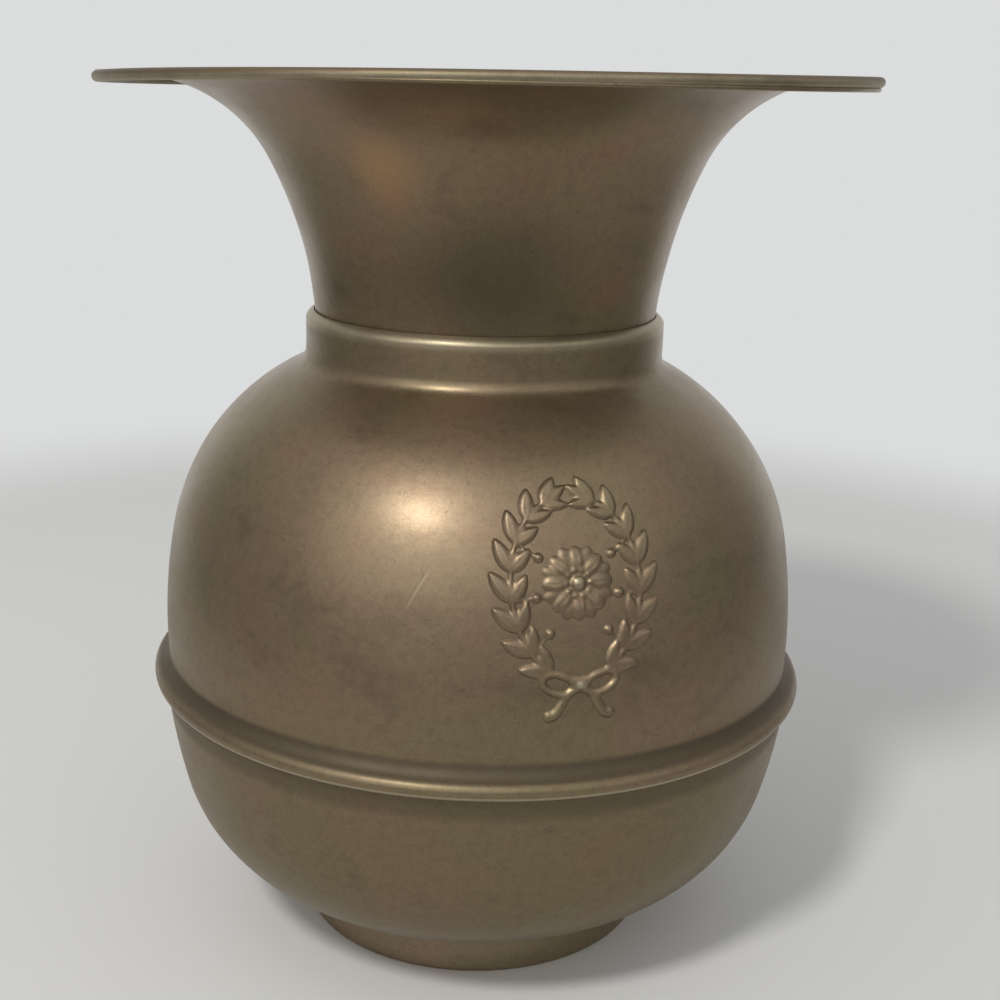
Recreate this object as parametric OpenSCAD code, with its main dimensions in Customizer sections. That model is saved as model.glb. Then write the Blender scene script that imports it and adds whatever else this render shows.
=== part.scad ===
// Spun sheet-brass spittoon on a weighted foot: a round body rolled together at the waist,
// with a wide flared funnel that stands in the body's collar and lifts out for emptying.
// Everything is turned about the Z axis. Z = 0 is the surface that the foot stands on.

/* [Sheet and fits] */
// Thickness of the spun brass sheet
sheet_t = 0.8; // [0.6:0.1:1.2]
// Clearance between the funnel's neck and the collar's lip
seat_gap = 0.3; // [0.2:0.05:0.6]
// Clearance between two sheets that are rolled together
roll_gap = 0.05; // [0.02:0.01:0.1]

/* [Foot] */
// How far the foot ring stands out past the edge of the bowl's flat floor
foot_out = 8.7; // [6:0.1:14]
// Height of the bowl's flat underside above the floor
foot_h = 13.8; // [11:0.2:18]
// Thickness of the foot ring's sheet
foot_t = 1; // [0.8:0.1:1.4]
// Outer radius of the bend at the bottom of the foot ring
foot_bend_r = 1.6; // [1.5:0.1:2.4]
// Width of the flat edge that the foot stands on, with its bend
foot_edge_w = 6; // [4:0.5:10]
// Thickness of the solder between the foot ring and the bowl
solder_t = 0.3; // [0.2:0.05:0.5]
// Thickness of the plate that closes the foot
plate_t = 0.8; // [0.6:0.1:1.2]
// Clearance round the plate and the weight inside the foot ring
foot_gap = 0.3; // [0.2:0.05:0.5]

/* [Lower bowl] */
// Height of the rolled waist seam, at the middle of its bead
seam_h = 83.8; // [78:0.1:90]
// Outer radius of the bowl's wall at the seam
mouth_r = 100.2; // [97:0.2:103]
// Lean of the bowl's wall at the seam, in degrees from upright
mouth_lean = 4.5; // [0:0.5:8]
// Radius of the long curve of the bowl's side
bowl_side_r = 190; // [160:1:230]
// Radius of the round that turns the side into the floor
bowl_round_r = 49.5; // [46:0.5:53]

/* [Waist seam] */
// Radius of the rolled bead's outline
bead_r = 2.8; // [2.4:0.1:3.4]
// How far the bead stands out from the bowl's wall
bead_out = 3; // [2.6:0.1:3.6]
// Angle below level at which the roll ends under the bead
bead_end = 76; // [60:1:78]
// Angle above level at which the bowl's flange ends inside the roll
flange_end = 90; // [60:1:110]
// Radius of the bend from the bowl's wall out into its flange
under_bead_r = 0.7; // [0.4:0.1:1.2]
// Radius of the cove between the upper shell's wall and the bead
cove_r = 5; // [3.5:0.1:8]

/* [Upper shell] */
// How much narrower the upper shell is than the bowl's mouth
body_inset = 1.3; // [1:0.1:2.5]
// Height of the shell's widest place above the seam
belly_rise = 14.9; // [12:0.1:18]
// Radius of the long curve of the shell's side
body_side_r = 170; // [150:1:200]
// Angle at which the side turns into the shoulder
side_turn = 10.8; // [8:0.1:14]
// Radius of the shoulder's curve
shoulder_r = 70.3; // [68:0.1:74]
// How far the collar's wall stands out past the funnel's neck
collar_out = 3.3; // [3:0.1:5]
// Height of the collar from the bottom of its wall to the top of its lip
collar_h = 11.8; // [9:0.1:18]
// Radius of the fillet between the shoulder and the collar
collar_fillet_r = 5; // [2:0.5:7]
// Radius of the outer corner of the collar's lip
lip_corner_r = 1; // [0.9:0.1:1.4]
// Radius of the lip's round from its corner in to the neck
lip_round_r = 3.4; // [3:0.1:4]
// Angle from level at which the lip's corner turns into its round
lip_start = 20; // [10:1:30]

/* [Funnel] */
// Height of the funnel's rim above the collar's lip
funnel_h = 69.4; // [60:0.1:80]
// Outer radius of the neck inside the collar
neck_r = 51.6; // [50:0.1:53]
// Depth of the neck's lower edge below the collar's lip
neck_depth = 31; // [22:1:38]
// Depth below the lip at which the neck starts to widen
widen_depth = 12.4; // [8:0.2:16]
// Radius of the long curve of the neck
neck_sweep_r = 129; // [120:1:140]
// Radius of the flare under the rim
flare_r = 42.3; // [38:0.1:46]
// Outer radius of the rim
rim_r = 114; // [108:0.5:118]
// Thickness of the rim's rolled edge
hem_d = 3; // [2.6:0.1:4]
// Radius of the bend at the neck's lower edge
neck_edge_r = 2; // [1.6:0.1:3]
// Angle through which the neck's lower edge is turned in
neck_edge_turn = 60; // [30:5:80]

/* [Hidden] */
$fn = 180;

// Degrees of an arc that one straight step of an outline stands for
arc_step = 3;

// Points nearer than this are one point of an outline
same_point = 0.001;

// Small clearance that keeps pieces inside a roll or a joint from overlapping
snug = 0.03;

// Chamfer on the weight's edges
ballast_chamfer = 1;

// Bowl: the side arc runs down from the seam, and the round carries it on to the flat floor
bowl_side_c = [mouth_r - bowl_side_r * cos(mouth_lean), seam_h + bowl_side_r * sin(mouth_lean)];
bowl_turn = asin((bowl_side_c[1] - foot_h - bowl_round_r) / (bowl_side_r - bowl_round_r));
bowl_round_c = bowl_side_c + (bowl_side_r - bowl_round_r) * [cos(bowl_turn), -sin(bowl_turn)];
floor_r = bowl_round_c[0];
foot_r = floor_r + foot_out;

// Seam: the upper shell's edge is rolled round the flange on the bowl's edge
bead_c = [mouth_r + bead_out - bead_r, seam_h];
flange_r = bead_r - sheet_t - roll_gap;
under_c = crossing(bowl_side_c, bowl_side_r + under_bead_r, bead_c, flange_r + under_bead_r);
under_start = heading(bowl_side_c, under_c);
under_end = heading(bead_c, under_c);

// Upper shell: cove, side, shoulder, fillet and collar, each tangent to the next
belly_z = seam_h + belly_rise;
body_side_c = [mouth_r - body_inset - body_side_r, belly_z];
cove_c = crossing(bead_c, bead_r + cove_r, body_side_c, body_side_r + cove_r);
cove_start = heading(bead_c, cove_c);
cove_end = heading(body_side_c, cove_c);
shoulder_c = body_side_c + (body_side_r - shoulder_r) * [cos(side_turn), sin(side_turn)];
collar_r = neck_r + collar_out;
fillet_c_r = collar_r + collar_fillet_r;
collar_z = shoulder_c[1] + other_leg(shoulder_r + collar_fillet_r, fillet_c_r - shoulder_c[0]);
fillet_c = [fillet_c_r, collar_z];
lip_z = collar_z + collar_h;

// Funnel: the neck sweeps out into the flare, which ends level under the rim
sweep_z = lip_z - widen_depth;
rim_z = lip_z + funnel_h;
sweep_c = [neck_r + neck_sweep_r, sweep_z];
flare_turn = asin((rim_z - sheet_t - flare_r - sweep_z) / (neck_sweep_r - flare_r));
flare_c = sweep_c + (neck_sweep_r - flare_r) * [-cos(flare_turn), sin(flare_turn)];
hem_c = [rim_r - hem_d / 2, rim_z - hem_d / 2];
neck_z = lip_z - neck_depth;

// Lip: it rounds in to the neck as far as the seat's clearance lets it, and is bored straight there
lip_in_r = neck_r + neck_sweep_r - other_leg(neck_sweep_r, widen_depth) + seat_gap;
lip_corner_c_r = collar_r - lip_corner_r;
lip_round_c_r = lip_corner_c_r - (lip_round_r - lip_corner_r) * cos(lip_start);
lip_end = acos((lip_in_r - lip_round_c_r) / lip_round_r);
lip_inner_end = acos((lip_in_r - lip_round_c_r) / (lip_round_r - sheet_t));
lip_round_c = [lip_round_c_r, lip_z - lip_round_r * sin(lip_end)];
lip_corner_c = [lip_corner_c_r, lip_round_c[1] + (lip_round_r - lip_corner_r) * sin(lip_start)];

brass = [0.47, 0.39, 0.25];
worn_brass = [0.53, 0.45, 0.29];
solder_grey = [0.55, 0.55, 0.53];
iron_grey = [0.25, 0.25, 0.26];

// Other leg of a right triangle
function other_leg(hypotenuse, leg) = sqrt(hypotenuse * hypotenuse - leg * leg);

// Direction from one point to another, in degrees
function heading(from, to) = atan2(to[1] - from[1], to[0] - from[0]);

// Crossing of two circles, to the right of the way from the first centre to the second
function crossing(c1, r1, c2, r2) =
    let (gap = norm(c2 - c1),
         along = (r1 * r1 - r2 * r2 + gap * gap) / (2 * gap),
         across = other_leg(r1, along),
         way = (c2 - c1) / gap)
    c1 + along * way + across * [way[1], -way[0]];

// Points of an arc, from one angle to another
function arc(c, r, a0, a1) =
    let (steps = max(2, ceil(abs(a1 - a0) / arc_step)))
    [for (i = [0 : steps]) c + r * [cos(a0 + (a1 - a0) * i / steps), sin(a0 + (a1 - a0) * i / steps)]];

// A bend of sheet is [centre, radius of the outer face, from, to, 1 if bulging or -1 if hollow]
function face(bends, depth) = [for (b = bends) each arc(b[0], b[1] - b[4] * depth, b[2], b[3])];

// An outline without the points that repeat the one before
function distinct(points) =
    [for (i = [0 : len(points) - 1])
        if (i == 0 || norm(points[i] - points[i - 1]) > same_point) points[i]];

function reversed(points) = [for (i = [len(points) - 1 : -1 : 0]) points[i]];

// Sheet of even thickness turned about the axis, from its bends, with points at either end
module spun(bends, t, start_out = [], start_in = [], end_out = [], end_in = []) {
    outside = concat(start_out, face(bends, 0), end_out);
    inside = concat(start_in, face(bends, t), end_in);
    rotate_extrude() polygon(distinct(concat(outside, reversed(inside))));
}

// Round rod bent into a ring
module hoop(c, r) {
    rotate_extrude() translate(c) circle(r = r, $fn = 48);
}

// Angle on the bowl's round, about its centre, at a given radius from the axis
function round_angle(r, ring_r) = -acos((ring_r - floor_r) / r);

// Standing ring, turned in at the bottom and cupped to the bowl at the top
module foot_ring() {
    bend_c = [foot_r - foot_bend_r, foot_bend_r];
    top_r = bowl_round_r + solder_t;
    under_r = top_r + foot_t;
    inner_r = foot_r - foot_t;
    edge_r = foot_r - foot_edge_w;
    color(brass)
        rotate_extrude()
            polygon(concat(
                [[edge_r, 0]],
                arc(bend_c, foot_bend_r, -90, 0),
                arc(bowl_round_c, top_r, round_angle(top_r, foot_r), -90),
                arc(bowl_round_c, under_r, -90, round_angle(under_r, inner_r)),
                arc(bend_c, foot_bend_r - foot_t, 0, -90),
                [[edge_r, foot_t]]));
}

// Disc that closes the foot from below, held on the ring's turned-in edge
module base_plate() {
    color(brass)
        translate([0, 0, foot_t])
            cylinder(h = plate_t, r = foot_r - foot_bend_r - foot_gap);
}

// Cast weight that fills the foot over the plate
module ballast() {
    bottom_z = foot_t + plate_t;
    top_z = foot_h - solder_t - foot_t - foot_gap;
    r = foot_r - foot_t - foot_gap;
    color(iron_grey)
        rotate_extrude()
            polygon([
                [0, bottom_z],
                [r - ballast_chamfer, bottom_z],
                [r, bottom_z + ballast_chamfer],
                [r, top_z - ballast_chamfer],
                [r - ballast_chamfer, top_z],
                [0, top_z]]);
}

// Film of solder between the foot ring and the bowl
module foot_solder() {
    high_r = bowl_round_r + snug;
    low_r = bowl_round_r + solder_t - snug;
    outer_r = foot_r - foot_t;
    color(solder_grey)
        rotate_extrude()
            polygon(concat(
                arc(bowl_round_c, low_r, -90, round_angle(low_r, outer_r)),
                arc(bowl_round_c, high_r, round_angle(high_r, outer_r), -90)));
}

// Lower half of the body, with its edge bent outward and up into a flange that is rolled in
module lower_bowl() {
    color(brass)
        spun([[bowl_round_c, bowl_round_r, -90, -bowl_turn, 1],
              [bowl_side_c, bowl_side_r, -bowl_turn, under_start, 1],
              [under_c, under_bead_r, under_start + 180, under_end + 180, -1],
              [bead_c, flange_r, under_end, flange_end, 1]],
             sheet_t,
             start_out = [[0, foot_h]],
             start_in = [[0, foot_h + sheet_t]]);
}

// Ring of solder in the middle of the roll, which makes the waist tight
module waist_solder() {
    color(solder_grey) hoop(bead_c, flange_r - sheet_t - roll_gap);
}

// Upper half of the body: edge rolled round the bowl's flange, side, shoulder, collar and its lip
module upper_shell() {
    color(brass)
        spun([[bead_c, bead_r, -bead_end, cove_start, 1],
              [cove_c, cove_r, cove_start + 180, cove_end + 180, -1],
              [body_side_c, body_side_r, cove_end, side_turn, 1],
              [shoulder_c, shoulder_r, side_turn, heading(shoulder_c, fillet_c), 1],
              [fillet_c, collar_fillet_r, 180 + heading(shoulder_c, fillet_c), 180, -1],
              [lip_corner_c, lip_corner_r, 0, lip_start, 1],
              [lip_round_c, lip_round_r, lip_start, lip_inner_end, 1]],
             sheet_t,
             end_out = arc(lip_round_c, lip_round_r, lip_inner_end, lip_end));
}

// Loose top: neck, sweep, flare and the rim's edge rolled down round its wire
module funnel() {
    edge_c = [neck_r - neck_edge_r, neck_z + neck_edge_r];
    color(worn_brass)
        spun([[edge_c, neck_edge_r, -neck_edge_turn, 0, 1],
              [sweep_c, neck_sweep_r, 180, 180 - flare_turn, -1],
              [flare_c, flare_r, 180 - flare_turn, 90, -1],
              [hem_c, hem_d / 2 - sheet_t, 90, -180, -1]],
             sheet_t);
}

// Wire inside the rolled rim
module rim_wire() {
    color(worn_brass) hoop(hem_c, hem_d / 2 - sheet_t - roll_gap);
}

foot_ring();
base_plate();
ballast();
foot_solder();
lower_bowl();
waist_solder();
upper_shell();
funnel();
rim_wire();
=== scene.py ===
"""Looks of the brass spittoon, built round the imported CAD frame.

The turned pieces are lathed again from the outlines of their CAD nodes, finely enough for satin
brass to reflect smoothly, and an embossed wreath stands on the shell's front. Everything is in
metres, in the CAD's frame: Z is the axis of revolution and -Y the front.
"""

import math

import bpy
import numpy as np
from mathutils import Matrix, Vector


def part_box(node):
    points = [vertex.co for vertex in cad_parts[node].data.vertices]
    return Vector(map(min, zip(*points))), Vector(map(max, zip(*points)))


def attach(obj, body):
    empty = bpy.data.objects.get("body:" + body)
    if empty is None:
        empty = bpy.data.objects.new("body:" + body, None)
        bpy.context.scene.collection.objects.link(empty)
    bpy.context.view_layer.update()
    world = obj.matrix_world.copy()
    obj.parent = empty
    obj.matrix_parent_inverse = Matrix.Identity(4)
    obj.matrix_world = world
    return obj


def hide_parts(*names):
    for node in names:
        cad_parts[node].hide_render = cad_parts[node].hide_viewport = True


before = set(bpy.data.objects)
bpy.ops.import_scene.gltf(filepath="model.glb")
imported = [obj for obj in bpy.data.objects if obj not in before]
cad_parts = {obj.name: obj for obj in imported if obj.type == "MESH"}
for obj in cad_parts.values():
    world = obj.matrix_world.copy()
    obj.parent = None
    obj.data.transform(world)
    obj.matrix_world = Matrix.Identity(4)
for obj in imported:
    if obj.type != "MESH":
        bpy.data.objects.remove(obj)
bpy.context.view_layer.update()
MM = 0.001
TINY = 1e-12               # keeps a division away from zero


def place(name, data):
    """New object of this mesh, camera or lamp, in the scene."""
    obj = bpy.data.objects.new(name, data)
    bpy.context.scene.collection.objects.link(obj)
    return obj


def dress(obj, material):
    obj.data.materials.clear()
    obj.data.materials.append(material)


# ---------------------------------------------------------------- outlines of the turned nodes

ON_PLANE = 2e-7            # a corner of a mesh this near the plane Y = 0 lies on it
ON_AXIS = 1e-9             # and this far past the axis still counts as on it
SAME = 2e-6                # points of an outline nearer than this are one
STRAIGHT = 0.3             # a turn under this many degrees is no point of the outline
SHARP = 12.0               # a turn over this many degrees is an edge, not part of a curve
ARC_POINTS = 8             # points of the curve for each span of the outline
EDGE_POINTS = 5            # and for each rounded edge
EDGE_ROUND = 0.16 * MM     # how far from an edge its rounding starts,
EDGE_SHARE = 0.45          # or this share of the way to the next point, if that is less


def outline(node):
    """Ordered (r, z) points of a turned node, from its mesh at azimuth 0, and if they are closed."""
    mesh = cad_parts[node].data
    co = np.array([v.co for v in mesh.vertices], float)
    on = (np.abs(co[:, 1]) < ON_PLANE) & (co[:, 0] > -ON_AXIS)
    places, owner = [], {}
    for i in np.nonzero(on)[0]:
        p = co[i, [0, 2]]
        found = next((k for k, q in enumerate(places) if np.hypot(*(p - q)) < SAME), None)
        if found is None:
            found = len(places)
            places.append(p)
        owner[int(i)] = found
    links = {k: set() for k in range(len(places))}
    for e in mesh.edges:
        a, b = e.vertices
        if a in owner and b in owner and owner[a] != owner[b]:
            links[owner[a]].add(owner[b])
            links[owner[b]].add(owner[a])
    links = {k: v for k, v in links.items() if v}
    ends = sorted((k for k, v in links.items() if len(v) == 1), key=lambda k: places[k][1])
    here = ends[0] if ends else min(links)
    walk, last = [here], None
    while True:
        onward = sorted(k for k in links[here] if k != last)
        if not onward or onward[0] == walk[0]:
            break
        last, here = here, onward[0]
        walk.append(here)
    return np.array([places[k] for k in walk]), not ends


def turns(points, closed):
    """Turn at each point in degrees, signed."""
    ahead = np.roll(points, -1, 0) - points
    angle = np.degrees(np.arctan2(ahead[:, 1], ahead[:, 0]))
    turn = (angle - np.roll(angle, 1) + 180) % 360 - 180
    if not closed:
        turn[0] = turn[-1] = 180
    return turn


def span(a, b, start, end):
    """Curve from point a towards b that leaves a at one heading and would reach b at another."""
    size = np.hypot(*(b - a))
    leaving = size * np.array([math.cos(start), math.sin(start)])
    reaching = size * np.array([math.cos(end), math.sin(end)])
    t = np.linspace(0, 1, ARC_POINTS, endpoint=False)[:, None]
    return ((2 * t ** 3 - 3 * t ** 2 + 1) * a + (t ** 3 - 2 * t ** 2 + t) * leaving
            + (3 * t ** 2 - 2 * t ** 3) * b + (t ** 3 - t ** 2) * reaching)


def smooth_curve(points, closed):
    """A dense curve through the outline's points: arcs are smooth again and edges slightly rounded."""
    while True:
        turn = turns(points, closed)
        keep = np.abs(turn) > STRAIGHT
        if keep.all():
            break
        points = points[keep]
    count = len(points)
    sharp = np.abs(turn) > SHARP
    half_turn = np.radians(turn) / 2

    dense, edges = [], []
    for i in range(count if closed else count - 1):
        j = (i + 1) % count
        r, z = points[j] - points[i]
        way = math.atan2(z, r)
        start = None if sharp[i] else way - half_turn[i]
        end = None if sharp[j] else way + half_turn[j]
        if start is None and end is None:
            start = end = way
        elif start is None:
            start = 2 * way - end
        elif end is None:
            end = 2 * way - start
        if sharp[i] and (closed or i > 0):
            edges.append(len(dense))
        dense.extend(span(points[i], points[j], start, end))
    if not closed:
        dense.append(points[-1])
    return round_edges(np.array(dense), edges)


def round_edges(dense, edges):
    """Each edge, given by its place in the curve, becomes a short curve of its own."""
    curve = []
    for i, point in enumerate(dense):
        if i not in edges:
            curve.append(point)
            continue
        a, b = (point + (q - point) * min(EDGE_SHARE, EDGE_ROUND / max(np.hypot(*(q - point)), TINY))
                for q in (dense[i - 1], dense[(i + 1) % len(dense)]))
        for t in np.linspace(0, 1, EDGE_POINTS):
            curve.append((1 - t) ** 2 * a + 2 * t * (1 - t) * point + t ** 2 * b)
    return np.array(curve)


# ---------------------------------------------------------------- lathe

TURN_STEP = 7.0            # degrees that the outline may turn from one row to the next
INWARD = -0.3              # a face whose normal points further towards the axis than this is an inner one


def signed_area(points):
    """Twice the area that the points go round: positive if that is anticlockwise."""
    r, z = points.T
    return np.sum(r * np.roll(z, -1) - np.roll(r, -1) * z)


def lathe_rows(curve, closed, step, inner_step=None):
    """Points of the curve for the lathe, spaced by length and by turn, and wider on inner faces."""
    count = len(curve)
    ahead = np.roll(curve, -1, 0) - curve
    size = np.hypot(ahead[:, 0], ahead[:, 1])
    turn = np.abs(turns(curve, True))
    outward = 1 if signed_area(curve) > 0 else -1
    cost = np.zeros(count)
    for i in range(count if closed else count - 1):
        inner = inner_step is not None and outward * ahead[i, 1] / max(size[i], TINY) < INWARD
        cost[i] = (size[i] / (inner_step if inner else step)
                   + 0.5 * (turn[i] + turn[(i + 1) % count]) / (TURN_STEP * (2 if inner else 1)))
    total = np.concatenate([[0], np.cumsum(cost)])
    want = np.linspace(0, total[-1], max(3, int(round(total[-1]))), endpoint=not closed)
    path = np.vstack([curve, curve[:1] if closed else curve[-1:]])
    return np.column_stack([np.interp(want, total, path[:, k]) for k in (0, 1)])


def lathe(name, rows, closed, columns, move=None):
    """Turned mesh of shared corners. An open outline is closed by discs on the axis."""
    az = np.linspace(-math.pi / 2, 1.5 * math.pi, columns, endpoint=False)
    r, z = rows[:, 0][:, None], rows[:, 1][:, None]
    co = np.stack([r * np.cos(az), r * np.sin(az), z + 0 * az], -1)
    if move is not None:
        co = move(co, az)
    co = co.reshape(-1, 3)
    index = np.arange(len(co)).reshape(len(rows), columns)
    above, last = np.roll(index, -1, 0), None if closed else -1
    corners = [index, np.roll(index, -1, 1), np.roll(above, -1, 1), above]
    quads = np.stack([c[:last] for c in corners], -1).reshape(-1, 4)
    anticlockwise = signed_area(rows) > 0
    faces = (quads if anticlockwise else quads[:, ::-1]).tolist()
    if not closed:
        for ring, z_hub, flip in ((index[0], rows[0, 1], anticlockwise),
                                  (index[-1], rows[-1, 1], not anticlockwise)):
            hub = len(co)
            co = np.vstack([co, [[0, 0, z_hub]]])
            for a, b in zip(ring.tolist(), np.roll(ring, -1).tolist()):
                faces.append([hub, b, a] if flip else [a, b, hub])
    mesh = bpy.data.meshes.new(name)
    mesh.from_pydata(co.tolist(), [], faces)
    mesh.validate()
    mesh.shade_smooth()
    return place(name, mesh)


# ---------------------------------------------------------------- hand-made unevenness

LIP_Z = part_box("upper_shell")[1].z
BEAD_Z = 0.5 * (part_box("waist_solder")[0].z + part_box("waist_solder")[1].z)
RIM_R, _, RIM_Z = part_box("funnel")[1]

# waves round the spun body: how many, height in mm, shift, and twist per metre of height
BODY_WAVES = ((2, 0.10, 0.7, 9), (3, 0.06, -1.1, -21), (5, 0.035, 2.0, 33), (8, 0.02, 0.4, -47))
WAVES_IN, WAVES_OUT = (0.016, 0.036), (0.148, 0.178)     # heights between which they set in and end
SEAM_SKEW = 0.0125                  # the rolled waist lies slightly lower on the right,
SKEW_IN, SKEW_OUT = (-0.045, -0.006), (0.010, 0.060)     # from and to these heights beside the bead
COLLAR_SHIFT = 0.25 * MM            # the collar is slightly off the axis,
SHOULDER_SHIFT = -0.35 * MM         # and the shoulder too, the other way
COLLAR_IN, SHOULDER_IN = (0.172, 0.190), (0.138, 0.165)  # heights between which each sets in

FUNNEL_TILT_Y = math.radians(0.84)  # the funnel stands askew: its right side is up
FUNNEL_TILT_X = math.radians(0.81)  # and so is its near side
FLARE_RISE = 0.068                  # height above the lip at which the rim's unevenness is full
RIM_SPREAD = 0.35 * MM              # the rim is this much wider than true
HEM_RISE = -0.17                    # height in mm that the whole rim is off true
HEM_WAVES = ((2, 0.27, 0.18), (3, 0.14, 0.10))  # its waves: how many, cosine and sine in mm
# how far in mm the funnel stands aside in the collar, and how much more above the lip and at the rim
NECK_ASIDE, ABOVE_ASIDE, RIM_ASIDE = 0.12, 0.50, 0.16
ABOVE_IN = (0, 0.02)                # heights over the lip between which it sets in


def soft_step(value, low, high):
    """0 below low and 1 above high, with a smooth change between them."""
    t = np.clip((value - low) / (high - low), 0, 1)
    return t * t * (3 - 2 * t)


def waver(az, z):
    """Slight unevenness of the spun body in metres, the same for the two shells and their seam."""
    return MM * sum(size * np.cos(count * az + shift + twist * z)
                    for count, size, shift, twist in BODY_WAVES)


def body_move(co, az):
    """The body's unevenness, which fades out at the collar and at the foot."""
    x, z = co[..., 0].copy(), co[..., 2].copy()
    fade = soft_step(z, *WAVES_IN) * (1 - soft_step(z, *WAVES_OUT))
    scale = 1 + waver(az, z) * fade / np.maximum(np.hypot(x, co[..., 1]), TINY)
    collar = soft_step(z, *COLLAR_IN)
    shoulder = soft_step(z, *SHOULDER_IN) * (1 - collar)
    co[..., 0] = x * scale + COLLAR_SHIFT * collar + SHOULDER_SHIFT * shoulder
    co[..., 1] *= scale
    near_seam = soft_step(z - BEAD_Z, *SKEW_IN) * (1 - soft_step(z - BEAD_Z, *SKEW_OUT))
    co[..., 2] = z - SEAM_SKEW * x * near_seam
    return co


def funnel_move(co, az):
    """The funnel's slight tilt in the collar, about the lip, and its rim's unevenness."""
    x, y, z = co[..., 0].copy(), co[..., 1].copy(), co[..., 2] - LIP_Z
    far = np.clip(z / FLARE_RISE, 0, 1) ** 3
    spread = 1 + RIM_SPREAD * far / np.maximum(np.hypot(x, y), TINY)
    x, y = x * spread, y * spread
    waves = sum(cosine * np.cos(count * az) + sine * np.sin(count * az)
                for count, cosine, sine in HEM_WAVES)
    z = z + MM * far * (HEM_RISE + waves)
    aside = MM * (NECK_ASIDE + ABOVE_ASIDE * soft_step(z, *ABOVE_IN) + RIM_ASIDE * far)
    co[..., 0] = x * math.cos(FUNNEL_TILT_Y) - z * math.sin(FUNNEL_TILT_Y) + COLLAR_SHIFT + aside
    z = x * math.sin(FUNNEL_TILT_Y) + z * math.cos(FUNNEL_TILT_Y)
    co[..., 1] = y * math.cos(FUNNEL_TILT_X) + z * math.sin(FUNNEL_TILT_X)
    co[..., 2] = LIP_Z - y * math.sin(FUNNEL_TILT_X) + z * math.cos(FUNNEL_TILT_X)
    return co


# ---------------------------------------------------------------- the turned pieces

def turned(name, node, body, columns, step, inner_step=None, move=None):
    """A piece lathed from a CAD node's outline, which it replaces."""
    points, closed = outline(node)
    rows = lathe_rows(smooth_curve(points, closed), closed, step, inner_step)
    obj = lathe(name, rows, closed, columns, move)
    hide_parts(node)
    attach(obj, body)
    return obj


bowl = turned("spun_bowl", "lower_bowl", "vessel", 400, 1.6 * MM, 3.2 * MM, move=body_move)
shell = turned("spun_shell", "upper_shell", "vessel", 400, 1.6 * MM, 3.2 * MM, move=body_move)
seam = turned("solder_ring", "waist_solder", "vessel", 256, 0.6 * MM, move=body_move)
foot = turned("spun_foot", "foot_ring", "vessel", 320, 1.2 * MM)
plate = turned("foot_plate", "base_plate", "vessel", 256, 1.5 * MM)
funnel = turned("spun_funnel", "funnel", "funnel", 280, 1.7 * MM, move=funnel_move)

# ---------------------------------------------------------------- the wreath, drawn in mm

WIDE, TALL = 18.0, 24.5    # half axes of the oval that the branches follow
OVAL_V = 1.0               # height of the oval's centre above the drawing's
LEAF_PAIRS = 8
ROSETTE_V = 2.0            # height of the rosette's centre
PETALS = 8
BOW_V = -24.6              # height of the bow


def dome(q, height):
    """Rounded section: full height at q = 0, level with the ground at q = 1, falling off outside."""
    return height * np.where(q < 1, 1 - q * q, 2.2 * (1 - q))


def turned_to(u, v, x, y, angle):
    """Places along and across a direction, from the point x, y."""
    along = (u - x) * math.cos(angle) + (v - y) * math.sin(angle)
    across = (v - y) * math.cos(angle) - (u - x) * math.sin(angle)
    return along, across


def leaf(u, v, x, y, angle, length, width, height):
    """Pointed leaf from its foot at x, y, with a sunken midrib and faint side veins."""
    along, across = turned_to(u, v, x, y, angle)
    t = along / length
    inside = np.clip(t, 0.0, 1.0) ** 0.85
    half = 0.5 * width * (4 * inside * (1 - inside)) ** 0.75
    beyond = np.maximum(0, np.maximum(-t, t - 1)) * length
    body = dome((np.abs(across) + beyond) / np.maximum(half, 0.25), height * (0.8 + 0.3 * np.clip(t, 0, 1)))
    midrib = 0.30 * height * np.exp(-(across / 0.42) ** 2) * (t > 0) * (t < 0.92)
    veins = 0.05 * np.sin(2 * math.pi * (along - 1.1 * np.abs(across)) / 1.5)
    return body - midrib + veins


def stroke(u, v, points, half, height):
    """Rounded strip along a line of points; half its width may change along it."""
    return np.max([dome(np.hypot(u - x, v - y) / w, height)
                   for (x, y), w in zip(points, np.broadcast_to(half, len(points)))], 0)


def spot(u, v, x, y, rx, ry, height, angle=0.0):
    """Oval boss."""
    along, across = turned_to(u, v, x, y, angle)
    return dome(np.hypot(along / rx, across / ry), height)


def oval(side, turn):
    """Point of the oval on one side: level with its centre at turn 0, and above that at more."""
    return side * WIDE * math.cos(turn), OVAL_V + TALL * math.sin(turn)


def branch(u, v, side):
    """One side of the wreath: pairs of leaves, berries on stalks, a leaf at the tip, and the stem."""
    parts = []
    for k, turn in enumerate(np.radians(np.linspace(-64, 66, LEAF_PAIRS))):
        x, y = oval(side, turn)
        heading = math.atan2(TALL * math.cos(turn), -side * WIDE * math.sin(turn))
        size = 1.0 - 0.03 * abs(k - 3)
        parts.append(leaf(u, v, x, y, heading - side * 0.50, 9.8 * size, 4.9 * size, 1.25))
        parts.append(leaf(u, v, x, y, heading + side * 0.62, 8.4 * size, 4.2 * size, 1.15))
        if k % 2 and k < LEAF_PAIRS - 1:
            bx, by = 0.64 * x, OVAL_V + 0.68 * (y - OVAL_V)
            stalk = [(x + (bx - x) * t, y + (by - y) * t) for t in np.linspace(0, 0.85, 8)]
            parts.append(spot(u, v, bx, by, 1.5, 1.5, 1.15))
            parts.append(stroke(u, v, stalk, 0.5, 0.6))
    tip_x, tip_y = oval(side, math.radians(70))
    parts.append(leaf(u, v, tip_x, tip_y, math.pi / 2 + side * 0.95, 7.4, 3.6, 1.15))
    stem = [oval(side, turn) for turn in np.radians(np.linspace(-88, 70, 70))]
    parts.append(stroke(u, v, stem, np.linspace(1.0, 0.6, len(stem)), 0.9))
    return parts


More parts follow.
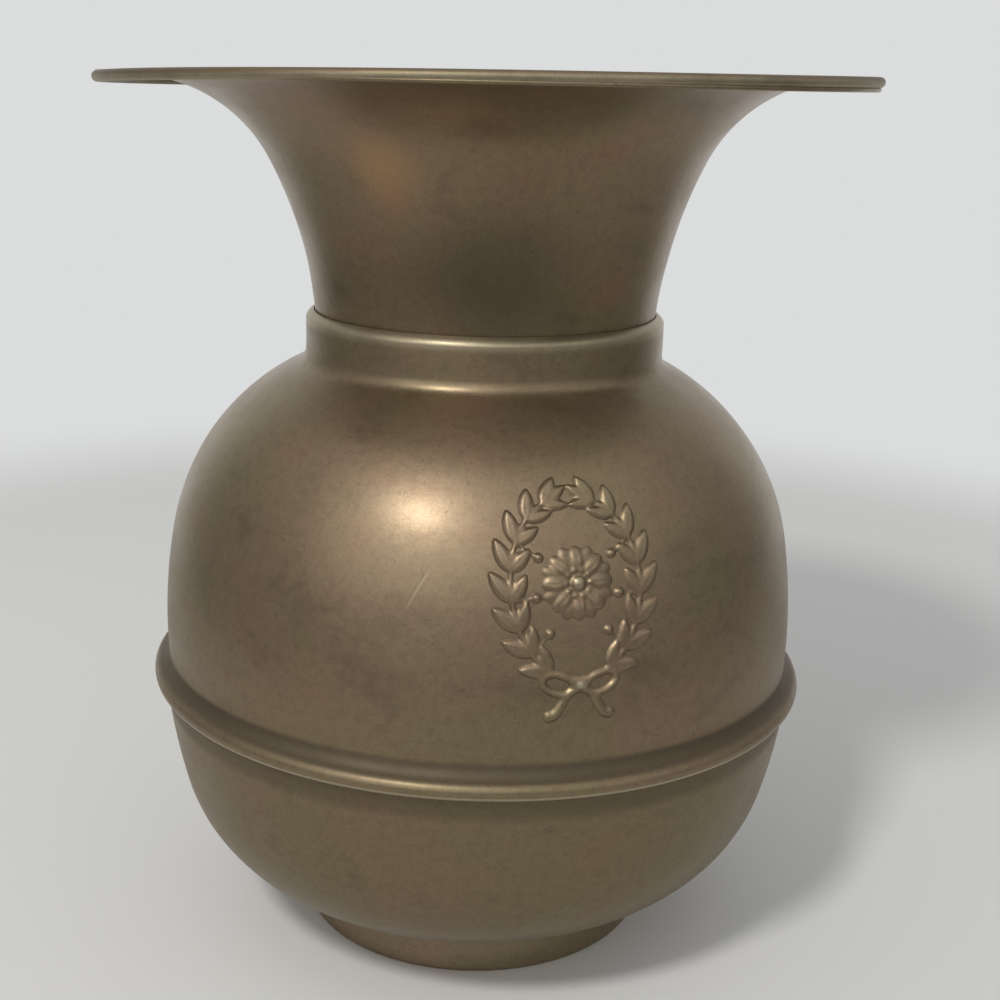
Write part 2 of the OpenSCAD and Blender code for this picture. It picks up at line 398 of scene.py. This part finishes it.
def bow(u, v, side):
    """One side of the bow: its loop and its tail."""
    loop = [(side * (5.9 + 4.4 * math.cos(a)), BOW_V + 1.0 * math.cos(a) + 2.7 * math.sin(a))
            for a in np.linspace(0, 2 * math.pi, 48)]
    t = np.linspace(0, 1, 24)
    tail = [(side * (1.0 + 7.4 * w), BOW_V - 1.8 - 6.6 * w + 1.2 * math.sin(6 * w)) for w in t]
    return [stroke(u, v, loop, 1.05, 1.1), stroke(u, v, tail, 1.0 + 0.7 * t, 0.95)]


def rosette(u, v):
    """Grooved petals in front of a second row that shows between them, beads, and a round boss."""
    def at(distance, angle):
        return distance * math.cos(angle), ROSETTE_V + distance * math.sin(angle)

    parts = [spot(u, v, *at(0, 0), 2.5, 2.5, 1.7)]
    for k in range(PETALS):
        front = 2 * math.pi * k / PETALS
        between = front + math.pi / PETALS
        petal = spot(u, v, *at(6.1, front), 3.8, 2.35, 1.3, front)
        groove = spot(u, v, *at(6.1, front), 3.0, 0.55, 0.45, front)
        parts.append(petal - np.maximum(groove, 0))
        parts.append(spot(u, v, *at(7.3, between), 3.0, 1.9, 0.75, between))
    for angle in np.radians(36 * np.arange(10)):
        parts.append(spot(u, v, *at(3.35, angle), 0.85, 0.85, 1.4))
    return parts


def wreath(u, v):
    """Height of two leafy branches tied with a bow round an eight-petalled rosette."""
    parts = [spot(u, v, 0, BOW_V - 0.2, 2.1, 1.9, 1.5)] + rosette(u, v)
    for side in (-1, 1):
        parts += branch(u, v, side) + bow(u, v, side)
    return np.max(parts, 0)


# ---------------------------------------------------------------- the embossed relief

WREATH_AZ = math.radians(-90 + 16)
WREATH_Z = 0.137
HALF_U, HALF_V = 29.1, 37.2  # half sizes of the relief's grid, in mm like its drawing
CELL = 0.3                 # spacing of the grid in mm
BLUR = 1.3                 # how far the drawing is softened, in cells
DEEPEST = -0.5             # depth in mm at which the drawing is cut off before that
SUNK = 0.35                # depth in mm of the relief's back below the shell's surface
CUT = -0.12                # the relief ends where it lies this many mm below the surface
SLOPE_REACH = 0.4 * MM     # the shell's slope is taken over this length each way
FACE_TOP = 0.182           # the shell's face is followed up to this height
LOOK_AHEAD = 20            # points further on that tell which way along the curve is up


def blurred(field, spread):
    """The field smoothed by a bell curve, spread in cells."""
    reach = int(math.ceil(3 * spread))
    weights = np.exp(-0.5 * (np.arange(-reach, reach + 1) / spread) ** 2)
    weights /= weights.sum()
    for axis in (0, 1):
        pad = [(reach, reach) if k == axis else (0, 0) for k in (0, 1)]
        wide = np.pad(field, pad, mode="edge")
        size = field.shape[axis]
        field = sum(w * np.take(wide, np.arange(k, k + size), axis) for k, w in enumerate(weights))
    return field


def shell_face():
    """Outer face of the upper shell from its bead upward: length along it, r and z."""
    curve = smooth_curve(*outline("upper_shell"))
    count, here = len(curve), int(curve[:, 0].argmax())
    step = 1 if curve[(here + LOOK_AHEAD) % count, 1] > curve[here, 1] else -1
    line = [curve[here]]
    while line[-1][1] < FACE_TOP:
        here = (here + step) % count
        line.append(curve[here])
    line = np.array(line)
    return np.concatenate([[0], np.cumsum(np.hypot(*np.diff(line, axis=0).T))]), line[:, 0], line[:, 1]


def kept_cells(height):
    """Cells of the grid that the relief covers, none of them meeting another at a corner only."""
    kept = np.maximum(np.maximum(height[:-1, :-1], height[1:, :-1]),
                      np.maximum(height[:-1, 1:], height[1:, 1:])) > CUT
    kept[[0, -1], :] = kept[:, [0, -1]] = False
    while True:
        a, b, c, d = kept[:-1, :-1], kept[:-1, 1:], kept[1:, :-1], kept[1:, 1:]
        first, second = a & d & ~b & ~c, b & c & ~a & ~d
        if not (first | second).any():
            return kept
        kept[:-1, 1:] |= first
        kept[:-1, :-1] |= second


def relief_layers(u, v, height):
    """Corners of the relief's face and of its back, on the shell."""
    length, r_line, z_line = shell_face()
    s = np.interp(WREATH_Z, z_line, length) + v * MM
    r, z = np.interp(s, length, r_line), np.interp(s, length, z_line)
    dr, dz = (np.interp(s + SLOPE_REACH, length, line) - np.interp(s - SLOPE_REACH, length, line)
              for line in (r_line, z_line))
    size = np.hypot(dr, dz)
    az = WREATH_AZ + u * MM / r
    layers = []
    for depth in (np.maximum(height, CUT), np.full_like(height, -SUNK)):
        rr, zz = r + depth * MM * dz / size, z - depth * MM * dr / size
        co = np.stack([rr * np.cos(az), rr * np.sin(az), zz], -1)
        layers.append(body_move(co, az).reshape(-1, 3))
    return np.vstack(layers)


def emboss(name):
    """Closed mesh of the relief: its face, its back inside the sheet, and the walls between them."""
    u, v = np.meshgrid(np.arange(-HALF_U, HALF_U + CELL / 2, CELL),
                       np.arange(-HALF_V, HALF_V + CELL / 2, CELL))
    height = blurred(np.maximum(wreath(u, v), DEEPEST), BLUR)
    kept = kept_cells(height)
    index = np.arange(u.size).reshape(u.shape)
    under = index + u.size
    i, j = np.nonzero(kept)
    faces = [np.stack([index[i, j], index[i, j + 1], index[i + 1, j + 1], index[i + 1, j]], -1),
             np.stack([under[i, j], under[i + 1, j], under[i + 1, j + 1], under[i, j + 1]], -1)]
    # a wall where the neighbour at this offset isn't kept, between these two corners of the cell
    for di, dj, p, q in ((-1, 0, (0, 0), (0, 1)), (0, 1, (0, 1), (1, 1)),
                         (1, 0, (1, 1), (1, 0)), (0, -1, (1, 0), (0, 0))):
        edge = ~kept[i + di, j + dj]
        a, b = (index[i[edge] + k[0], j[edge] + k[1]] for k in (p, q))
        faces.append(np.stack([a, a + u.size, b + u.size, b], -1))
    used, faces = np.unique(np.concatenate(faces), return_inverse=True)
    mesh = bpy.data.meshes.new(name)
    mesh.from_pydata(relief_layers(u, v, height)[used].tolist(), [], faces.reshape(-1, 4).tolist())
    mesh.attributes.new("relief", "FLOAT", "POINT").data.foreach_set(
        "value", np.concatenate([height.ravel(), np.zeros(u.size)])[used].astype(np.float32))
    mesh.shade_smooth()
    mesh.set_sharp_from_angle(angle=math.radians(60))
    obj = place(name, mesh)
    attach(obj, "vessel")
    return obj


relief = emboss("embossed_wreath")

# ---------------------------------------------------------------- node trees

class Nodes:
    """Short-hand for building the nodes of a material or a world."""

    def __init__(self, owner, output):
        owner.use_nodes = True
        self.owner = owner
        self.tree = owner.node_tree
        self.tree.nodes.clear()
        self.output = self.add(output)

    def add(self, kind, inputs=None, **settings):
        node = self.tree.nodes.new(kind)
        for key, value in settings.items():
            setattr(node, key, value)
        for key, value in (inputs or {}).items():
            self.put(node.inputs[key], value)
        return node

    def put(self, socket, value):
        if isinstance(value, bpy.types.NodeSocket):
            self.tree.links.new(value, socket)
        else:
            socket.default_value = value

    def finish(self, surface):
        self.put(self.output.inputs["Surface"], surface)
        return self.owner

    def math(self, operation, *values, clamp=False):
        node = self.add("ShaderNodeMath", dict(enumerate(values)), operation=operation, use_clamp=clamp)
        return node.outputs[0]

    def vector(self, operation, a, b=(0, 0, 0), gives="Vector"):
        return self.add("ShaderNodeVectorMath", {0: a, 1: b}, operation=operation).outputs[gives]

    def ramp(self, value, low, high, to_low=0.0, to_high=1.0, smooth=True):
        inputs = {"Value": value, "From Min": low, "From Max": high, "To Min": to_low, "To Max": to_high}
        shape = "SMOOTHSTEP" if smooth else "LINEAR"
        return self.add("ShaderNodeMapRange", inputs, clamp=True, interpolation_type=shape).outputs["Result"]

    def blend(self, factor, a, b):
        """The number a where factor is 0 and b where it is 1."""
        return self.add("ShaderNodeMix", {0: factor, 2: a, 3: b}, data_type="FLOAT").outputs[0]

    def mix(self, factor, a, b, blend="MIX"):
        """The colour a where factor is 0 and b where it is 1."""
        a, b = (v if isinstance(v, bpy.types.NodeSocket) else (*v, 1.0) for v in (a, b))
        node = self.add("ShaderNodeMix", data_type="RGBA", blend_type=blend)
        for key, value in ((0, factor), (6, a), (7, b)):
            self.put(node.inputs[key], value)
        return node.outputs[2]

    def noise(self, vector, scale, detail=3.0, rough=0.55, distortion=0.0):
        node = self.add("ShaderNodeTexNoise", {"Vector": vector, "Scale": scale, "Detail": detail,
                                               "Roughness": rough, "Distortion": distortion})
        return node.outputs[0]

    def scaled(self, vector, scale, rotation=(0, 0, 0), location=(0, 0, 0)):
        node = self.add("ShaderNodeMapping", {"Vector": vector, "Scale": scale, "Rotation": rotation,
                                              "Location": location})
        return node.outputs[0]


def material_nodes(name):
    """Nodes of a new material, and the place on the piece, from which all its patterns come."""
    n = Nodes(bpy.data.materials.new(name), "ShaderNodeOutputMaterial")
    return n, n.add("ShaderNodeTexCoord").outputs["Object"]


# ---------------------------------------------------------------- places on a surface
# each gives a number from 0 to 1, or a function that makes its nodes from the tree and the place

RAGGED = 0.35              # share of a patch's radius by which its edge wanders each way


def in_patch(n, where, centre, radius, soft, wobble):
    """1 inside a soft-edged uneven patch round a point, 0 outside; used for stains and for painted shade."""
    away = n.vector("DISTANCE", where, centre, gives="Value")
    ragged = n.math("MULTIPLY_ADD", wobble, -radius * RAGGED * 2, radius * RAGGED)
    return n.ramp(n.math("ADD", away, ragged), radius - soft, radius + soft, 1.0, 0.0)


def scratched(n, where, start, end, width):
    """1 on the line between two points of a surface, fading out at its width and its ends."""
    start, end = Vector(start), Vector(end)
    way = end - start
    off = n.vector("SUBTRACT", where, start)
    along = n.math("MULTIPLY", n.vector("DOT_PRODUCT", off, way / way.length_squared, gives="Value"),
                   1.0, clamp=True)
    nearest = n.add("ShaderNodeVectorMath", {0: way, "Scale": along}, operation="SCALE").outputs[0]
    away = n.vector("DISTANCE", off, nearest, gives="Value")
    taper = n.math("MULTIPLY", n.ramp(along, 0.0, 0.25), n.ramp(along, 1.0, 0.6))
    return n.math("MULTIPLY", n.ramp(away, width, 0.0), taper)


def band(centre, half, soft, lean=(0.0, 0.0)):
    """1 near a height, fading out above and below; the band may lean along x and y."""
    def on(n, where):
        z = n.vector("DOT_PRODUCT", where, (-lean[0], -lean[1], 1.0), gives="Value")
        away = n.math("ABSOLUTE", n.math("SUBTRACT", z, centre))
        return n.ramp(away, half, half + soft, 1.0, 0.0)
    return on


def relief_height(low, high):
    """From 0 to 1 between two heights in mm of the wreath's relief."""
    def on(n, where):
        return n.ramp(n.add("ShaderNodeAttribute", attribute_name="relief").outputs["Fac"], low, high)
    return on


def on_hem(n, where):
    """1 on the rolled rim."""
    level = n.vector("MULTIPLY", where, (1.0, 1.0, 0.0))
    return n.ramp(n.vector("LENGTH", level, gives="Value"), RIM_R - 3.5 * MM, RIM_R - 2.0 * MM)


def hem_painted_highlight(n, where):
    """Painted highlight: a bright line low on the rolled rim."""
    lean = (math.sin(FUNNEL_TILT_Y), -math.sin(FUNNEL_TILT_X))
    line = band(RIM_Z - 2.4 * MM, 0.6 * MM, 1.0 * MM, lean)
    return n.math("MULTIPLY", on_hem(n, where), line(n, where))


def hem_painted_shade(n, where):
    """Painted shade on the rolled rim: darker and rougher all round, and more so from some way out to its
    left and right.
    """
    x = n.math("ABSOLUTE", n.add("ShaderNodeSeparateXYZ", {0: where}).outputs["X"])
    return n.math("MULTIPLY", on_hem(n, where), n.ramp(x, 70 * MM, 105 * MM, 0.65, 1.0))


# ---------------------------------------------------------------- materials

BROWN, OLIVE = (0.220, 0.160, 0.100), (0.205, 0.162, 0.092)
RED, DARK = (0.240, 0.152, 0.097), (0.140, 0.102, 0.066)
# The second colour here is that of dirt, and also of painted shade.
SPECK, SOIL_AND_SHADE = (0.07, 0.052, 0.035), (0.085, 0.066, 0.043)
# Colour of rubbed metal, also used for painted highlights.
WORN_AND_HIGHLIGHT = (0.36, 0.31, 0.21)
METAL = 0.8                # how metallic the tarnished brass is
DARKENED_ROUGH = 0.25          # roughness added with dirt and with painted shade
SECOND_ROUGH = 0.24        # how much rougher the second film is than the first,
SECOND_SHARE = 0.42        # and its share of the surface


def tarnish(n, where, middle, small, tint, cloud):
    """Colour of the film: brown and olive clouds with red-brown, dark and speckled places."""
    brown, olive, red, dark = (tuple(a * b for a, b in zip(c, tint)) for c in (BROWN, OLIVE, RED, DARK))
    big = n.noise(where, 17.0, 4.0, 0.55, 0.3)
    specks = n.noise(n.scaled(where, (1, 1, 1), location=(0.7, 0.2, 0.4)), 900.0, 2.0, 0.5)
    colour = n.mix(n.ramp(big, 0.40, 0.62), brown, olive)
    for factor, strength, tone in ((n.ramp(middle, 0.52, 0.72), 0.55 * cloud, red),
                                   (n.ramp(middle, 0.46, 0.30), 0.45 * cloud, dark),
                                   (n.ramp(small, 0.42, 0.70), 0.30, dark),
                                   (n.ramp(specks, 0.64, 0.74), 0.35, SPECK)):
        colour = n.mix(n.math("MULTIPLY", factor, strength), colour, tone)
    return colour


def surface_height(n, where, small):
    """Height for the bump: faint lathe lines round the axis, dimples, fine grain and hair lines."""
    spun = n.noise(n.scaled(where, (6, 6, 1500)), 1.0, 3.0, 0.6)
    hair = n.noise(n.scaled(where, (420, 420, 4200), rotation=(0.5, 0.9, 0.2)), 1.0, 2.0, 0.5)
    dimple = n.noise(where, 230.0, 2.0, 0.5, 0.2)
    height = n.math("MULTIPLY", spun, 0.14)
    for pattern, strength in ((n.ramp(hair, 0.62, 0.74), -0.10), (dimple, 0.9), (small, 0.55)):
        height = n.math("ADD", height, n.math("MULTIPLY", pattern, strength))
    return height


def brass(name, tint=(1.0, 1.0, 1.0), cloud=1.0, rough=0.34, stains_and_shade=(), scratches=(), wear_and_highlight=(), grime_and_shade=()):
    """Unpolished aged brass: a cloudy film over spun metal.

    stains_and_shade: centre, radius, softness, tone and strength of each stain, and of each patch of painted
    shade.
    scratches: start, end, width and depth of each.
    wear, grime: a place's function and a strength for each spot that is made brighter or darker; the brighter
    ones are rubbed metal and painted highlights, the darker ones dirt, patina and painted shade.
    wear fills its place evenly where the strength is well over 1.
    """
    n, where = material_nodes(name)
    middle = n.noise(n.scaled(where, (1, 1, 1.6), location=(0.3, 0.1, 0.7)), 46.0, 5.0, 0.6, 0.4)
    small = n.noise(where, 420.0, 3.0, 0.6)
    colour = tarnish(n, where, middle, small, tint, cloud)
    # Stains, and patches of painted shade, mixed into the colour.
    for centre, radius, soft, tone, strength in stains_and_shade:
        patch = in_patch(n, where, centre, radius, soft, middle)
        colour = n.mix(n.math("MULTIPLY", patch, strength), colour, tone)
    roughness = n.ramp(middle, 0.3, 0.7, rough - 0.03, rough + 0.05)
    # Darker, rougher spots: dirt and patina, and painted shade in the cove over the bead, under the bead and
    # on the rim.
    for spot_on, strength in grime_and_shade:
        darkened = n.math("MULTIPLY", spot_on(n, where), strength)
        colour = n.mix(darkened, colour, SOIL_AND_SHADE)
        roughness = n.math("ADD", roughness, n.math("MULTIPLY", darkened, DARKENED_ROUGH))
    # Brighter spots: rubbed metal, and painted highlights along the rim and on the bead's lower side.
    for spot_on, strength in wear_and_highlight:
        uneven = n.ramp(middle, 0.25, 0.6, 0.45 * strength, strength)
        colour = n.mix(n.math("MULTIPLY", spot_on(n, where), uneven), colour, WORN_AND_HIGHLIGHT)
    grain = n.noise(where, 2400.0, 2.0, 0.6)
    colour = n.mix(1.0, colour, n.ramp(grain, 0.25, 0.75, 0.84, 1.16, smooth=False), "MULTIPLY")

    height = surface_height(n, where, small)
    for start, end, width, depth in scratches:
        line = scratched(n, where, start, end, width)
        height = n.math("ADD", height, n.math("MULTIPLY", line, -depth))
        colour = n.mix(n.math("MULTIPLY", line, 0.45), colour, WORN_AND_HIGHLIGHT)
    bump = n.add("ShaderNodeBump", {"Strength": 0.35, "Distance": 0.12 * MM, "Height": height})
    smooth_film, rough_film = (
        n.add("ShaderNodeBsdfPrincipled", {"Base Color": colour, "Roughness": value, "Metallic": METAL,
                                           "Normal": bump.outputs[0]}).outputs[0]
        for value in (roughness, n.math("ADD", roughness, SECOND_ROUGH)))
    film = n.add("ShaderNodeMixShader", {0: SECOND_SHARE, 1: smooth_film, 2: rough_film})
    return n.finish(film.outputs[0])


def dull(name, colour, dark, scale, rough, metallic):
    """Material for what stays inside: soft solder or a rough casting."""
    n, where = material_nodes(name)
    clouds = n.noise(where, scale, 4.0, 0.6)
    grains = n.noise(where, scale * 9, 2.0, 0.6)
    bump = n.add("ShaderNodeBump", {"Strength": 0.5, "Distance": 0.4 * MM, "Height": grains})
    surface = n.add("ShaderNodeBsdfPrincipled", {
        "Base Color": n.mix(n.ramp(clouds, 0.35, 0.65), colour, dark),
        "Roughness": n.ramp(grains, 0.3, 0.7, rough - 0.06, rough + 0.06),
        "Metallic": metallic, "Normal": bump.outputs[0]})
    return n.finish(surface.outputs[0])


# ---------------------------------------------------------------- what each piece is made of

SEAM_LEAN = (-SEAM_SKEW, 0.0)
SHELL_SCRATCHES = (((-0.0196, -0.0936, 0.1310), (-0.0115, -0.0915, 0.1450), 0.6 * MM, 1.6),
                   ((0.0135, -0.0987, 0.0975), (0.0148, -0.0985, 0.0960), 1.0 * MM, 1.2),
                   ((0.0160, -0.0983, 0.0950), (0.0172, -0.0981, 0.0938), 0.8 * MM, 1.0))
COPPER, PINK, WARM, SHADE = (0.40, 0.22, 0.10), (0.36, 0.14, 0.09), (0.28, 0.20, 0.125), (0.10, 0.080, 0.050)
FUNNEL_STAINS_AND_SHADE = (((-0.029, -0.062, 0.240), 9.0 * MM, 6 * MM, COPPER, 0.85),
                 ((-0.027, -0.060, 0.231), 5.5 * MM, 4 * MM, PINK, 0.65),
                 ((-0.026, -0.070, 0.243), 24.0 * MM, 14 * MM, WARM, 0.40),
                 # Painted shade: a dark patch on the front of the neck.
                 ((0.002, -0.052, 0.212), 18.0 * MM, 14 * MM, SHADE, 0.70))

lip_wear = band(LIP_Z - 1.0 * MM, 1.2 * MM, 2.5 * MM)
# A brighter line on the bead's lower side: rubbed edge, and painted highlight.
bead_wear_and_highlight = band(BEAD_Z - 2.1 * MM, 0.6 * MM, 0.6 * MM, SEAM_LEAN)
# Painted shade: the cove above the bead made dark and rough, so that it shows no bright line.
cove_painted_shade = band(BEAD_Z + 4.4 * MM, 1.3 * MM, 2.0 * MM, SEAM_LEAN)
# Painted shade on the bowl under the bead.
under_bead_painted_shade = band(BEAD_Z - 5.5 * MM, 2.0 * MM, 4.0 * MM, SEAM_LEAN)

dress(shell, brass("shell_brass", scratches=SHELL_SCRATCHES, wear_and_highlight=((lip_wear, 0.8), (bead_wear_and_highlight, 1.4)),
                   grime_and_shade=((cove_painted_shade, 0.85),)))
dress(relief, brass("wreath_brass", wear_and_highlight=((relief_height(0.85, 1.35), 1.0),),
                    grime_and_shade=((relief_height(0.45, 0.0), 0.45),)))
dress(bowl, brass("bowl_brass", tint=(0.90, 0.91, 0.88), grime_and_shade=((under_bead_painted_shade, 0.45),)))
# The foot's tint makes it lighter and greyer: its own greyer tone, and painted light that makes up for the
# shade it stands in by the floor.
dress(foot, brass("foot_brass", tint=(1.22, 1.25, 1.35)))
dress(plate, brass("plate_brass", tint=(0.8, 0.82, 0.85), cloud=1.3, rough=0.42))
dress(funnel, brass("funnel_brass", tint=(0.98, 0.95, 0.92), cloud=1.3, rough=0.33, stains_and_shade=FUNNEL_STAINS_AND_SHADE,
                    wear_and_highlight=((hem_painted_highlight, 0.7),), grime_and_shade=((hem_painted_shade, 0.75),)))
dress(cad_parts["rim_wire"], brass("wire_brass"))

iron = dull("rough_iron", (0.045, 0.042, 0.04), (0.02, 0.018, 0.017), 160.0, 0.75, 0.6)
dress(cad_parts["ballast"], iron)
grey = dull("soft_solder", (0.42, 0.42, 0.41), (0.22, 0.22, 0.21), 220.0, 0.5, 0.9)
dress(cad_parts["foot_solder"], grey)
dress(seam, grey)

# ---------------------------------------------------------------- camera, as fitted to the photograph

FOCAL = 1.5175             # focal length in widths of the picture
SENSOR = 36.0              # width of the sensor in mm
EYE_BACK, EYE_UP = 0.4664, 0.2659
YAW, PITCH, ROLL = 0.0132, 0.272, 0.024

ahead = Vector((math.sin(YAW), math.cos(YAW), 0))
right = Vector((math.cos(YAW), -math.sin(YAW), 0))
forward = math.cos(PITCH) * ahead - Vector((0, 0, math.sin(PITCH)))
up = math.sin(PITCH) * ahead + Vector((0, 0, math.cos(PITCH)))
side = math.cos(ROLL) * right + math.sin(ROLL) * up
up = math.cos(ROLL) * up - math.sin(ROLL) * right
camera_data = bpy.data.cameras.new("camera")
camera_data.sensor_fit = "HORIZONTAL"
camera_data.sensor_width = SENSOR
camera_data.lens = SENSOR * FOCAL
camera_data.clip_start = 0.01
camera = place("camera", camera_data)
turn = Matrix((side, up, -forward)).transposed().to_4x4()
camera.matrix_world = Matrix.Translation((0, -EYE_BACK, EYE_UP)) @ turn
bpy.context.scene.camera = camera

# ---------------------------------------------------------------- floor

FLOOR_HALF = 3.0
FLOOR_COLOUR = (0.88, 0.88, 0.865, 1)
FADE_CENTRE = (0.0, 0.15, 0.0)
FADE_NEAR, FADE_FAR = 0.38, 0.62    # the floor gives way to the backdrop between these distances


def pale_floor():
    """Matt floor that fades out round the object, so that the backdrop meets it without a line."""
    n, where = material_nodes("pale_floor")
    away = n.vector("DISTANCE", where, FADE_CENTRE, gives="Value")
    matt = n.add("ShaderNodeBsdfDiffuse", {"Color": FLOOR_COLOUR})
    clear = n.add("ShaderNodeBsdfTransparent")
    edge = n.add("ShaderNodeMixShader", {0: n.ramp(away, FADE_NEAR, FADE_FAR),
                                         1: matt.outputs[0], 2: clear.outputs[0]})
    return n.finish(edge.outputs[0])


floor_mesh = bpy.data.meshes.new("floor")
floor_mesh.from_pydata([(x * FLOOR_HALF, y * FLOOR_HALF, 0) for x, y in ((-1, -1), (1, -1), (1, 1), (-1, 1))],
                       [], [(0, 1, 2, 3)])
floor = place("floor", floor_mesh)
dress(floor, pale_floor())

# ---------------------------------------------------------------- world and lamp

BACKDROP = 0.72            # what the camera sees behind the floor
WALL = 1.15                # level of the pale wall behind the object, as the brass mirrors it
AIR = (0.985, 0.995, 1.0, 1)
# bright places in the room: direction, cosine at which the glow starts, and its level
GLOWS = (((-0.40, -0.78, 0.481), 0.76, 1.4), ((0.42, -0.66, 0.623), 0.50, 0.46))


def room_level(n, direction, height, y):
    """What the brass mirrors away from the wall: a dim room with a dark ground and a pale ceiling."""
    walls = n.ramp(height, -0.34, 0.04, 0.10, 0.25)
    ceiling = n.math("ADD", n.ramp(height, 0.05, 0.60, 0.0, 0.20), n.ramp(height, 0.60, 1.0, 0.0, 0.55))
    room = n.math("ADD", walls, ceiling)
    room = n.math("ADD", room, n.ramp(y, 0.40, -0.70, 0.0, 0.05))
    room = n.math("ADD", room, n.ramp(height, -0.45, -0.90, 0.0, 0.15))
    for centre, start, level in GLOWS:
        near = n.vector("DOT_PRODUCT", direction, centre, gives="Value")
        room = n.math("ADD", room, n.ramp(near, start, 1.0, 0.0, level))
    return room


def studio():
    """World: a plain backdrop for the camera, a room for mirror rays, and soft light for matt ones."""
    n = Nodes(bpy.data.worlds.new("studio"), "ShaderNodeOutputWorld")
    direction = n.add("ShaderNodeTexCoord").outputs["Generated"]
    parts = n.add("ShaderNodeSeparateXYZ", {0: direction})
    path = n.add("ShaderNodeLightPath")
    height, y = parts.outputs["Z"], parts.outputs["Y"]
    flat = n.math("SQRT", n.math("SUBTRACT", 1.0, n.math("POWER", height, 2.0)))
    behind = n.math("DIVIDE", y, n.math("MAXIMUM", flat, 0.001))
    wall = n.math("MULTIPLY", n.ramp(behind, 0.50, 0.82), n.ramp(height, 0.25, 0.75, 1.0, 0.25))
    mirror = n.blend(wall, room_level(n, direction, height, y), WALL)
    rays = n.math("MAXIMUM", path.outputs["Is Glossy Ray"], path.outputs["Is Transmission Ray"])
    around = n.ramp(height, 0.05, 0.55, 1.0, 0.42)      # more of it comes from low down
    light = n.blend(path.outputs["Is Camera Ray"], n.blend(rays, around, mirror), BACKDROP)
    background = n.add("ShaderNodeBackground", {"Color": AIR, "Strength": light})
    return n.finish(background.outputs[0])


bpy.context.scene.world = studio()

LAMP_FROM, LAMP_TO = Vector((-0.50, -0.95, 1.25)), Vector((0, 0, 0.13))
lamp_data = bpy.data.lights.new("key", "AREA")
lamp_data.shape = "DISK"
lamp_data.size = 0.24
lamp_data.energy = 9.6
lamp_data.color = (1.0, 0.985, 0.955)
lamp = place("key", lamp_data)
lamp.location = LAMP_FROM
lamp.rotation_euler = (LAMP_TO - LAMP_FROM).to_track_quat("-Z", "Y").to_euler()

bpy.context.scene.view_settings.view_transform = "Standard"
